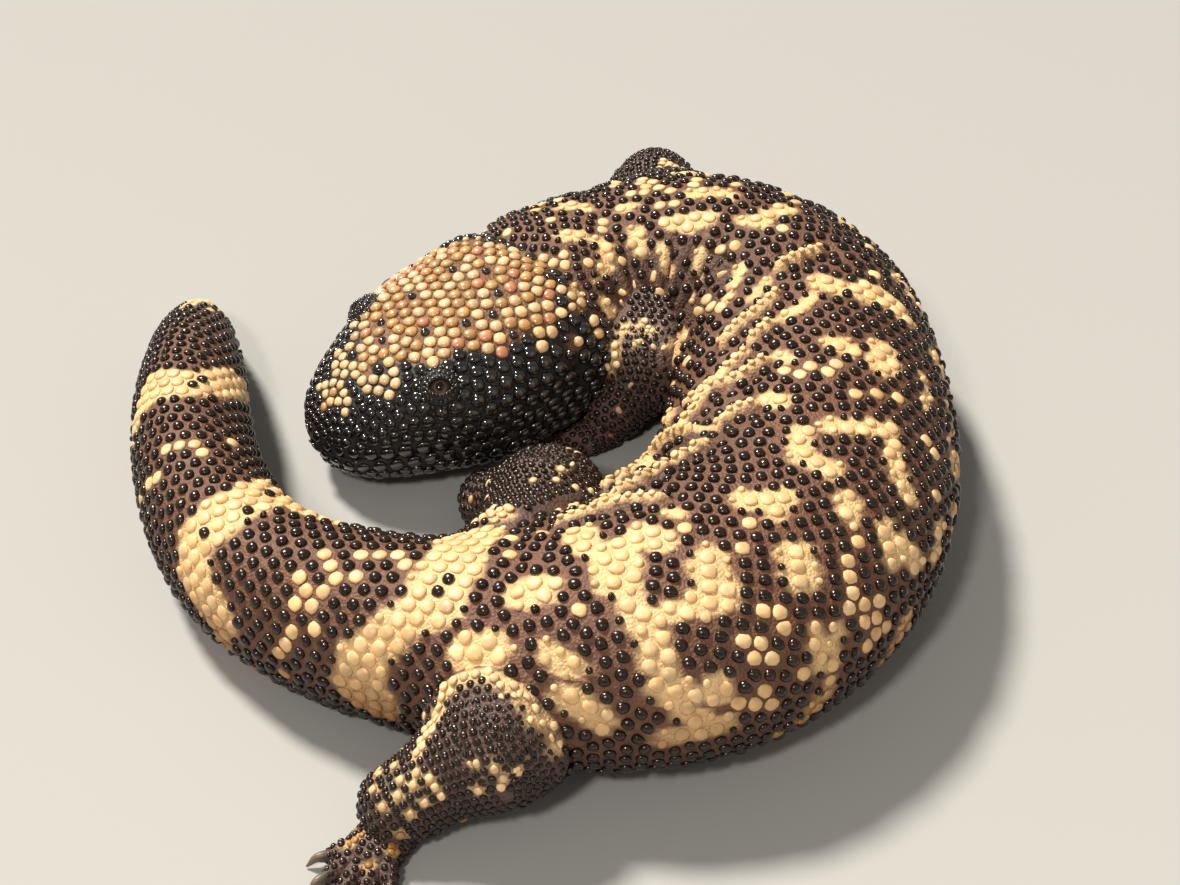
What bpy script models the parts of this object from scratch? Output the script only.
"""Gila monster at life size, resting with its body curled to its left.

The part is in metres with +Z up, and the animal lies on the floor at z = 0. The sizes below are in
millimetres. A place on the trunk is given by its distance along the spine from the tip of the snout
and by a turn around the body: 0 degrees is the animal's right flank, the outer side of the curl,
90 the back, 180 the left flank and 270 the belly.
"""
import math

import bmesh
import bpy
import numpy as np
from mathutils import Vector

MM = 0.001
GAP = 0.3

# The curl of the spine, seen from above
SNOUT_X = -65.0
SNOUT_Y = 3.8
LENGTH = 454.0
# Middle of the whole animal's box in that plan, which stands at the part's origin
CENTRE = (-11.6, -8.5, 0.0)
HEADING = [(0, 28), (35, 37), (62, 48), (90, 15), (118, -32), (150, -80), (200, -105),
           (245, -149), (285, -186), (325, -206), (375, -250), (420, -266), (454, -266)]

# Half widths and heights of the body against the distance from the snout
OUTER_HALF = [(0, 1), (2, 8), (6, 13.5), (18, 20.5), (40, 28.5), (62, 29), (80, 27.5), (105, 30),
              (150, 31), (200, 33.3), (245, 34.5), (268, 30.5), (285, 25), (300, 21), (340, 16.2),
              (380, 13.4), (410, 12.2), (430, 10.6), (440, 8.6), (447, 6.2), (451, 4.2), (453.3, 2),
              (454, 0.8)]
INNER_HALF = [(0, 1), (2, 8), (6, 13.5), (18, 20.5), (40, 27.5), (62, 28), (80, 25), (105, 26),
              (150, 31.5), (200, 35.5), (245, 36.5), (268, 31.5), (285, 25.5), (300, 21.5), (340, 17.7),
              (380, 15.4), (410, 14), (430, 11), (440, 8.6), (447, 6.2), (451, 4.2), (453.3, 2),
              (454, 0.8)]
TOP = [(0, 14), (2, 19), (6, 23.5), (12, 28), (25, 33.5), (40, 36.5), (62, 38), (85, 39), (105, 42),
       (150, 45), (245, 46), (268, 44), (285, 41), (310, 37), (340, 34.5), (400, 31), (420, 27.5),
       (434, 23), (444, 18), (450, 13.5), (453, 9.8), (454, 7.5)]
WIDEST = [(0, 12.5), (25, 15.5), (40, 16), (66, 16), (105, 18), (150, 20), (250, 21), (285, 19),
          (310, 18), (340, 17), (400, 15.5), (434, 11.5), (454, 6.5)]
UNDERSIDE = [(0, 11), (3, 6.5), (10, 4), (40, 2), (75, 1), (95, 0), (444, 0), (451, 1.5), (454, 5.5)]
BOXINESS = [(0, 1), (20, 0.82), (50, 0.82), (90, 1), (454, 1)]
BELLY_FLAT = 1.17

# Lengths of the trunk and tail, with the number of bead columns around each
LENGTHS = [("neck", 66, 92, 39), ("torso_shoulders", 92, 128, 42), ("torso_chest", 128, 178, 45),
           ("torso_middle", 178, 230, 48), ("torso_loin", 230, 280, 48), ("pelvis", 280, 312, 42),
           ("tail_base", 312, 350, 30), ("tail_middle", 350, 390, 27), ("tail_rear", 390, 428, 24),
           ("tail_tip", 428, 454, 18)]
ROW_SPACING = 3.9
BEAD_HEIGHT = 0.9

# Head
HEAD_END = 66.0
MOUTH_CORNER = 41.0
MOUTH_DEPTH = 1.5
EYE_S = 25.0
EYE_TURN = 47.0
EYE_RADIUS = 3.1
EYE_SINK = 1.2
NOSTRIL_S = 6.0
NOSTRIL_TURN = 32.0
EAR_S = 53.0
EAR_TURN = 12.0


def along(knots, s):
    """Smooth value at s of the curve through the knots, which never overshoots them."""
    x, y = np.array(knots, float).T
    s = np.clip(np.asarray(s, float), x[0], x[-1])
    step = np.diff(x)
    slope = np.diff(y) / step
    before, after = slope[:-1], slope[1:]
    tangent = np.concatenate([slope[:1], np.zeros(len(x) - 2), slope[-1:]])
    same = before * after > 0
    weight_a = (2 * step[1:] + step[:-1])[same]
    weight_b = (step[1:] + 2 * step[:-1])[same]
    tangent[1:-1][same] = (weight_a + weight_b) / (weight_a / before[same] + weight_b / after[same])
    i = np.clip(np.searchsorted(x, s, "right") - 1, 0, len(x) - 2)
    t = (s - x[i]) / step[i]
    rise = (3 - 2 * t) * t * t
    return (y[i] * (1 - rise) + y[i + 1] * rise
            + step[i] * (tangent[i] * t * (1 - t) ** 2 - tangent[i + 1] * t * t * (1 - t)))


def spine_curve():
    """Distances along the spine with its places seen from above and its headings in radians."""
    s = np.arange(0.0, LENGTH + 0.25, 0.5)
    heading = np.radians(along(HEADING, s))
    step = np.diff(s)
    x = SNOUT_X + np.concatenate([[0], np.cumsum(step * (np.cos(heading[1:]) + np.cos(heading[:-1])) / 2)])
    y = SNOUT_Y + np.concatenate([[0], np.cumsum(step * (np.sin(heading[1:]) + np.sin(heading[:-1])) / 2)])
    return s, x, y, heading


SPINE = spine_curve()


def skin_point(s, turn, swell=0.0):
    """Places on the skin, at distances s and turns in radians, with the skin swollen outwards."""
    s, turn = np.broadcast_arrays(np.asarray(s, float), np.asarray(turn, float))
    x = np.interp(s, SPINE[0], SPINE[1])
    y = np.interp(s, SPINE[0], SPINE[2])
    heading = np.interp(s, SPINE[0], SPINE[3])
    cosine, sine = np.cos(turn), np.sin(turn)
    power = along(BOXINESS, s)
    half = np.where(cosine > 0, along(OUTER_HALF, s), along(INNER_HALF, s)) + swell
    side = half * np.sign(cosine) * np.abs(cosine) ** power
    middle = along(WIDEST, s)
    low = along(UNDERSIDE, s)
    rise = (along(TOP, s) + swell - middle) * np.abs(sine) ** power
    drop = BELLY_FLAT * (middle - low + swell) * np.abs(sine) ** power
    z = np.where(sine > 0, middle + rise, np.maximum(low - swell, middle - drop))
    return np.stack([x - side * np.sin(heading), y + side * np.cos(heading), z], -1)


def skin_normal(s, turn):
    """Outward directions of the skin, with the stretch of the skin along the spine there."""
    d_turn = skin_point(s, turn + 0.02) - skin_point(s, turn - 0.02)
    d_s = (skin_point(s + 0.5, turn) - skin_point(s - 0.5, turn))
    normal = np.cross(d_turn, d_s)
    length = np.linalg.norm(normal, axis=-1, keepdims=True)
    normal = normal / np.maximum(length, 1e-9)
    return normal, np.linalg.norm(d_s, axis=-1)


def material(name, colour, roughness):
    made = bpy.data.materials.new(name)
    made.use_nodes = True
    shader = made.node_tree.nodes["Principled BSDF"]
    shader.inputs["Base Color"].default_value = (*colour, 1.0)
    shader.inputs["Roughness"].default_value = roughness
    shader.inputs["Metallic"].default_value = 0.0
    return made


def closed_mesh(name, points, faces):
    """Object with a closed mesh from points in millimetres, its faces turned outwards."""
    mesh = bpy.data.meshes.new(name)
    mesh.from_pydata([tuple(p) for p in (np.asarray(points) - CENTRE) * MM], [], [tuple(f) for f in faces])
    work = bmesh.new()
    work.from_mesh(mesh)
    bmesh.ops.triangulate(work, faces=work.faces)
    bmesh.ops.recalc_face_normals(work, faces=work.faces)
    if work.calc_volume(signed=True) < 0:
        bmesh.ops.reverse_faces(work, faces=work.faces)
    work.to_mesh(mesh)
    work.free()
    made = bpy.data.objects.new(name, mesh)
    bpy.context.scene.collection.objects.link(made)
    return made


def staggered_faces(rows, columns):
    """Triangles of a lattice of closed rows, each second row half a column further round."""
    faces = []
    for i in range(rows - 1):
        for j in range(columns):
            a, b = i * columns + j, i * columns + (j + 1) % columns
            c, d = a + columns, b + columns
            faces += [(a, b, c), (b, d, c)] if i % 2 == 0 else [(a, b, d), (a, d, c)]
    return faces


def end_caps(rows, columns, first, last):
    """Fans that close both ends of a lattice, about the points numbered first and last."""
    start = (rows - 1) * columns
    faces = [(first, (j + 1) % columns, j) for j in range(columns)]
    return faces + [(last, start + j, start + (j + 1) % columns) for j in range(columns)]


def bead_mask(rows, columns):
    """True at the top of each bead: every third point, so that six triangles surround it."""
    i, j = np.mgrid[0:rows, 0:columns]
    tops = (j - (i - i % 2) // 2 - i) % 3 == 0
    tops[[0, -1]] = False
    return tops


def body_length(name, start, end, columns):
    """One length of the trunk or tail, with the beads of its skin raised in its surface."""
    start, end = start + GAP / 2, end - GAP / 2
    rows = int(round((end - start) / ROW_SPACING)) + 1
    share = np.linspace(0, 1, rows)
    if name == "tail_tip":
        share = np.sin(share * math.pi / 2)
    s = (start + (end - start) * share)[:, None] + np.zeros(columns)
    column = np.arange(columns) + 0.5 * (np.arange(rows) % 2)[:, None]
    turn = 2 * math.pi * column / columns
    points = skin_point(s, turn)
    normal, stretch = skin_normal(s, turn)
    open_skin = np.clip((stretch - 0.35) / 0.4, 0, 1)
    clear_of_floor = np.clip((points[..., 2] - 3.0) / 4.0, 0, 1)
    height = BEAD_HEIGHT * bead_mask(rows, columns) * open_skin * clear_of_floor
    points = points + normal * height[..., None]
    flat = points.reshape(-1, 3)
    centres = [flat[:columns].mean(0), flat[-columns:].mean(0)]
    centres[0][2] = along(WIDEST, start)
    centres[1][2] = along(WIDEST, end)
    count = len(flat)
    faces = staggered_faces(rows, columns) + end_caps(rows, columns, count, count + 1)
    return closed_mesh(name, np.vstack([flat, centres]), faces)


def trunk_cutter(start, end, swell):
    """Plain swollen copy of a stretch of the body, to cut what grows from it clear of it."""
    columns = 48
    s = np.arange(start, end, ROW_SPACING)
    turn = 2 * math.pi * np.arange(columns) / columns
    points = skin_point(s[:, None], turn[None, :], swell).reshape(-1, 3)
    centres = [points[:columns].mean(0), points[-columns:].mean(0)]
    count = len(points)
    faces = staggered_faces(len(s), columns) + end_caps(len(s), columns, count, count + 1)
    return closed_mesh("cutter", np.vstack([points, centres]), faces)


def applied(target):
    """Replaces a mesh by its evaluated one, which applies the modifiers."""
    graph = bpy.context.evaluated_depsgraph_get()
    mesh = bpy.data.meshes.new_from_object(target.evaluated_get(graph))
    target.modifiers.clear()
    target.data = mesh


def largest_surface(target):
    """Keeps only the closed surface of the greatest volume."""
    work = bmesh.new()
    work.from_mesh(target.data)
    bmesh.ops.remove_doubles(work, verts=work.verts, dist=0.00002)
    bmesh.ops.dissolve_degenerate(work, edges=work.edges, dist=0.00001)
    bmesh.ops.triangulate(work, faces=work.faces)
    left = set(work.faces)
    pieces = []
    while left:
        piece, queue = set(), [left.pop()]
        while queue:
            face = queue.pop()
            piece.add(face)
            near = {other for edge in face.edges for other in edge.link_faces} & left
            left -= near
            queue += near
        volume = sum(f.verts[0].co.dot(f.verts[1].co.cross(f.verts[2].co)) for f in piece) / 6
        pieces.append((volume, piece))
    pieces.sort(key=lambda entry: entry[0])
    spare = [face for _, piece in pieces[:-1] for face in piece]
    bmesh.ops.delete(work, geom=spare, context="FACES")
    work.to_mesh(target.data)
    work.free()


def combine(target, operation, tools, solver="EXACT"):
    """One Boolean of a target with closed tools, which are then removed; cuts are made one by one."""
    if operation == "DIFFERENCE":
        for tool in tools[1:]:
            combine(target, operation, [tool], solver)
        tools = tools[:1]
    group = bpy.data.collections.new("tools")
    bpy.context.scene.collection.children.link(group)
    for tool in tools:
        for owner in list(tool.users_collection):
            owner.objects.unlink(tool)
        group.objects.link(tool)
    modifier = target.modifiers.new("join", "BOOLEAN")
    modifier.operation = operation
    modifier.operand_type = "COLLECTION"
    modifier.collection = group
    modifier.solver = solver
    applied(target)
    for tool in tools:
        bpy.data.objects.remove(tool, do_unlink=True)
    bpy.data.collections.remove(group)
    largest_surface(target)


def half_space(point, direction):
    """Large box on the far side of a plane through a point, to cut a piece off there."""
    size = 260.0
    towards = Vector(direction).normalized()
    across = towards.orthogonal().normalized()
    third = towards.cross(across)
    corners = []
    for depth in (0, size):
        for u, v in ((-1, -1), (1, -1), (1, 1), (-1, 1)):
            corner = Vector(point) + towards * depth + across * (u * size) + third * (v * size)
            corners.append(tuple(corner))
    faces = [(3, 2, 1, 0), (4, 5, 6, 7), (0, 1, 5, 4), (1, 2, 6, 5), (2, 3, 7, 6), (3, 0, 4, 7)]
    return closed_mesh("cutter", corners, faces)


def ball(centre, radii, rings=8, columns=12, towards=(0, 0, 1)):
    """Ellipsoid with its third radius along a direction."""
    axis = Vector(towards).normalized()
    across = np.array(axis.orthogonal().normalized())
    axis = np.array(axis)
    third = np.cross(axis, across)
    points = [np.array(centre) - axis * radii[2]]
    for i in range(1, rings):
        polar = math.pi * i / rings
        for j in range(columns):
            a = 2 * math.pi * (j + 0.5 * (i % 2)) / columns
            offset = (across * (radii[0] * math.sin(polar) * math.cos(a))
                      + third * (radii[1] * math.sin(polar) * math.sin(a))
                      - axis * (radii[2] * math.cos(polar)))
            points.append(np.array(centre) + offset)
    points.append(np.array(centre) + axis * radii[2])
    ring = staggered_faces(rings - 1, columns)
    last = len(points) - 1
    start = 1 + (rings - 2) * columns
    faces = [tuple(v + 1 for v in face) for face in ring]
    faces += [(0, 1 + (j + 1) % columns, 1 + j) for j in range(columns)]
    faces += [(last, start + j, start + (j + 1) % columns) for j in range(columns)]
    return closed_mesh("ball", points, faces)


def tube(name, path, radii, columns, row_spacing, bead=0.0, squash=1.0):
    """Round limb along a path of points, with a rounded end at both ends and beads on its skin.

    The radius is read from radii, pairs of share of the length and radius, and the ends close
    as a hemisphere does. squash is the height of the limb's section over its width.
    """
    path = np.array(path, float)
    reach = np.concatenate([[0], np.cumsum(np.linalg.norm(np.diff(path, axis=0), axis=1))])
    total = reach[-1]
    first, last = float(along(radii, 0)), float(along(radii, 1))
    rows = max(4, int(round((total + first + last) / row_spacing)) + 1)
    t = np.linspace(-first * 0.97, total + last * 0.97, rows)
    radius = along(radii, np.clip(t / total, 0, 1))
    radius = radius * np.sqrt(np.clip(1 - (np.minimum(t, 0) / first) ** 2, 0.02, 1))
    radius = radius * np.sqrt(np.clip(1 - (np.maximum(t - total, 0) / last) ** 2, 0.02, 1))
    inside = np.clip(t, 0, total)
    middle = np.stack([along(list(zip(reach, path[:, k])), inside) for k in range(3)], -1)
    ahead = np.stack([along(list(zip(reach, path[:, k])), np.clip(inside + 0.5, 0, total))
                      - along(list(zip(reach, path[:, k])), np.clip(inside - 0.5, 0, total))
                      for k in range(3)], -1)
    ahead = ahead / np.linalg.norm(ahead, axis=1, keepdims=True)
    middle = middle + ahead * (t - inside)[:, None]
    across = np.cross(ahead, (0, 0, 1.0))
    across = across / np.linalg.norm(across, axis=1, keepdims=True)
    upward = np.cross(across, ahead)
    a = 2 * math.pi * (np.arange(columns) + 0.5 * (np.arange(rows) % 2)[:, None]) / columns
    raised = radius[:, None] + bead * bead_mask(rows, columns)
    points = (middle[:, None] + across[:, None] * (raised * np.cos(a))[..., None]
              + upward[:, None] * (squash * raised * np.sin(a))[..., None])
    flat = points.reshape(-1, 3)
    ends = [middle[0] - ahead[0] * first * 0.03, middle[-1] + ahead[-1] * last * 0.03]
    count = len(flat)
    faces = staggered_faces(rows, columns) + end_caps(rows, columns, count, count + 1)
    return closed_mesh(name, np.vstack([flat, ends]), faces)


def head():
    """The head: plates on the crown, the line of the mouth, lids, nostrils and ears."""
    near_tip = [0.4, 1.2, 2.6, 4.6, 7.0]
    s = np.array(near_tip + list(np.linspace(9.6, HEAD_END - GAP / 2, 20)))
    lip = 6.0
    upper = np.linspace(lip, 180 - lip, 21)
    lower = np.linspace(180 + lip, 360 - lip, 15)
    turn = np.radians(np.concatenate([[0.0], upper, [180.0], lower]))
    columns, rows = len(turn), len(s)
    grid_s = s[:, None] + np.zeros(columns)
    grid_turn = turn[None, :] + np.zeros(rows)[:, None]
    points = skin_point(grid_s, grid_turn)
    normal, _ = skin_normal(np.clip(grid_s, 1.0, None), grid_turn)
    i, j = np.mgrid[0:rows, 0:columns]
    in_crown = (j > 2) & (j < 20) & (i > 1) & (i < rows - 1)
    on_jaw = (j > 23) & (j < 37) & (i > 3) & (i < rows - 1) & (points[..., 2] > 5)
    tops = ((i + j) % 2 == 0) & (in_crown | on_jaw)
    mouth = ((j == 0) | (j == 22)) & (grid_s < MOUTH_CORNER)
    lips = ((j == 1) | (j == 21) | (j == 23) | (j == columns - 1)) & (grid_s < MOUTH_CORNER)
    height = BEAD_HEIGHT * tops - MOUTH_DEPTH * mouth * (grid_s > 2) + 0.4 * lips
    points = points + normal * height[..., None]
    flat = points.reshape(-1, 3)
    faces = []
    for row in range(rows - 1):
        for column in range(columns):
            a, b = row * columns + column, row * columns + (column + 1) % columns
            c, d = a + columns, b + columns
            faces += [(a, b, c), (b, d, c)] if (row + column) % 2 == 1 else [(a, b, d), (a, d, c)]
    tip = flat[:columns].mean(0)
    back = flat[-columns:].mean(0)
    count = len(flat)
    faces += end_caps(rows, columns, count, count + 1)
    made = closed_mesh("head", np.vstack([flat, [tip, back]]), faces)
    lids = []
    holes = []
    for side in (0, 1):
        place, out = face_place(EYE_S, EYE_TURN, side)
        lids.append(ring(place - out * 0.2, out, EYE_RADIUS + 0.9, 1.3))
        holes.append(ball(place - out * EYE_SINK, (EYE_RADIUS + 2 * GAP,) * 3, 7, 12, out))
        place, out = face_place(NOSTRIL_S, NOSTRIL_TURN, side)
        holes.append(ball(place, (1.3, 1.3, 2.2), 6, 8, out))
        place, out = face_place(EAR_S, EAR_TURN, side)
        holes.append(ball(place, (1.6, 3.6, 2.4), 6, 10, out))
    combine(made, "UNION", lids)
    combine(made, "DIFFERENCE", holes)
    return made


def face_place(s, degrees, side):
    """A place on the skin of the head and the direction out of it, on the right or left side."""
    turn = math.radians(degrees if side == 0 else 180 - degrees)
    normal, _ = skin_normal(np.array(s), np.array(turn))
    return skin_point(s, turn), normal


def ring(centre, direction, radius, thickness):
    """Ring of skin around an eye."""
    axis = Vector(direction).normalized()
    across = np.array(axis.orthogonal().normalized())
    axis = np.array(axis)
    third = np.cross(axis, across)
    around, section = 12, 5
    points = []
    for i in range(around):
        a = 2 * math.pi * i / around
        outward = across * math.cos(a) + third * math.sin(a)
        for j in range(section):
            b = 2 * math.pi * j / section
            points.append(centre + outward * (radius + thickness * math.cos(b))
                          + axis * thickness * math.sin(b))
    faces = []
    for i in range(around):
        for j in range(section):
            a, b = i * section + j, i * section + (j + 1) % section
            c, d = ((i + 1) % around) * section + j, ((i + 1) % around) * section + (j + 1) % section
            faces += [(a, b, d), (a, d, c)]
    return closed_mesh("lid", points, faces)


def eye(name, side):
    """Eyeball that sits in the socket with the usual gap."""
    place, out = face_place(EYE_S, EYE_TURN, side)
    made = ball(place - out * EYE_SINK, (EYE_RADIUS,) * 3, 8, 12, out)
    made.name = name
    return made


# Legs: joints, radii at the joints, the way the toes point, and the body lengths that cut them
LEGS = {
    "front_left": dict(root=(17, 44, 20), bend=(14, 28, 16), end=(6, 20.5, 8), radii=(12, 11.5, 6.5),
                       toes=212, spread=0.7, body=(34, 215)),
    "front_right": dict(root=(21, 78, 20), bend=(17, 97, 17), end=(4, 95, 7), radii=(12, 9.5, 6.5),
                        toes=180, spread=0.9, body=(72, 150)),
    "hind_left": dict(root=(-16, -50, 20), bend=(-9, -22, 16), end=(-22, -11, 7), radii=(14, 12.5, 7),
                      toes=-2, spread=0.6, body=(225, 335)),
    "hind_right": dict(root=(-19, -72, 20), bend=(-18, -92, 18), end=(-38, -100, 8), radii=(14, 13, 7.5),
                       toes=238, spread=1.0, body=(250, 330)),
}
TOE_ANGLES = (-42, -20, 0, 21, 44)
TOE_LENGTHS = (7.0, 9.5, 10.5, 10.0, 7.5)
PALM_LENGTH = 12.0
PALM_WIDTH = 12.0
PALM_HEIGHT = 7.0
CLAW_LENGTH = 5.0


def unit(vector):
    vector = np.array(vector, float)
    return vector / np.linalg.norm(vector)


def leg(name, root, bend, end, radii, toes, spread, body):
    """Upper limb, lower limb and foot of one leg, parted by flat cuts at its bend and its end."""
    root, bend, end = np.array(root, float), np.array(bend, float), np.array(end, float)
    bend_way = unit(unit(bend - root) + unit(end - bend))
    foot_way = np.array([math.cos(math.radians(toes)), math.sin(math.radians(toes)), 0.0])
    end_way = unit(unit(end - bend) + foot_way)
    columns = 18
    half = GAP / 2
    upper = tube("leg_" + name + "_upper", [root, bend], [(0, radii[0]), (1, radii[1])], columns, 3.6, 0.7)
    cuts = [half_space(bend - bend_way * half, bend_way), trunk_cutter(*body, BEAD_HEIGHT + GAP)]
    combine(upper, "DIFFERENCE", cuts)
    lower = tube("leg_" + name + "_lower", [bend, end], [(0, radii[1]), (1, radii[2])], columns, 3.4, 0.7)
    cuts = [half_space(bend + bend_way * half, -bend_way), half_space(end - end_way * half, end_way),
            trunk_cutter(*body, BEAD_HEIGHT + GAP), half_space((0, 0, 0.3), (0, 0, -1))]
    combine(lower, "DIFFERENCE", cuts)
    sole = foot("foot_" + name, end, foot_way, radii[2], spread)
    cuts = [half_space(end + end_way * half, -end_way), half_space((0, 0, 0), (0, 0, -1))]
    if name == "front_left":
        cuts.append(trunk_cutter(20, 110, BEAD_HEIGHT + GAP))
    combine(sole, "DIFFERENCE", cuts)
    return [upper, lower, sole]


def foot(name, wrist, way, radius, spread):
    """Palm with five toes and their claws, fused into one body."""
    across = np.array([-way[1], way[0], 0.0])
    heel = np.array([wrist[0], wrist[1], max(wrist[2] - 2.0, 3.5)])
    centre = np.array([wrist[0], wrist[1], 0.0]) + way * (PALM_LENGTH * 0.55)
    palm = centre + np.array([0, 0, PALM_HEIGHT * 0.42])
    made = tube(name, [heel, palm], [(0, radius), (1, PALM_HEIGHT * 0.6)], 9, 6.0)
    pieces = [ball(palm, (PALM_WIDTH / 2, PALM_LENGTH / 2, PALM_HEIGHT * 0.5), 5, 9)]
    for angle, length in zip(TOE_ANGLES, TOE_LENGTHS):
        a = math.radians(angle * spread)
        out = way * math.cos(a) + across * math.sin(a)
        start = centre + out * (PALM_WIDTH * 0.28) + np.array([0, 0, 2.6])
        knuckle = start + out * length * 0.6 + np.array([0, 0, 0.4])
        tip = start + out * length + np.array([0, 0, -0.6])
        pieces.append(tube("toe", [start, knuckle, tip], [(0, 2.6), (0.6, 2.3), (1, 1.8)], 6, 5.0))
        claw_top = tip + out * CLAW_LENGTH * 0.5 + np.array([0, 0, 0.5])
        claw_tip = tip + out * CLAW_LENGTH + np.array([0, 0, -1.4])
        pieces.append(tube("claw", [tip, claw_top, claw_tip], [(0, 1.3), (0.5, 1.0), (1, 0.35)], 4, 3.2))
    combine(made, "UNION", pieces)
    return made


def main():
    for item in list(bpy.data.objects):
        bpy.data.objects.remove(item, do_unlink=True)
    skin = material("beaded_skin", (0.12, 0.07, 0.05), 0.45)
    pale = material("pale_skin", (0.72, 0.5, 0.25), 0.5)
    black = material("eye_black", (0.01, 0.008, 0.006), 0.15)
    nodes = [head()]
    nodes += [body_length(*length) for length in LENGTHS]
    for name, sizes in LEGS.items():
        nodes += leg(name, **sizes)
    for node in nodes:
        node.data.materials.clear()
        node.data.materials.append(pale if node.name in ("tail_middle", "torso_loin") else skin)
    for side, name in enumerate(("eye_right", "eye_left")):
        ball_node = eye(name, side)
        ball_node.data.materials.append(black)
        ball_node.data.shade_smooth()


main()
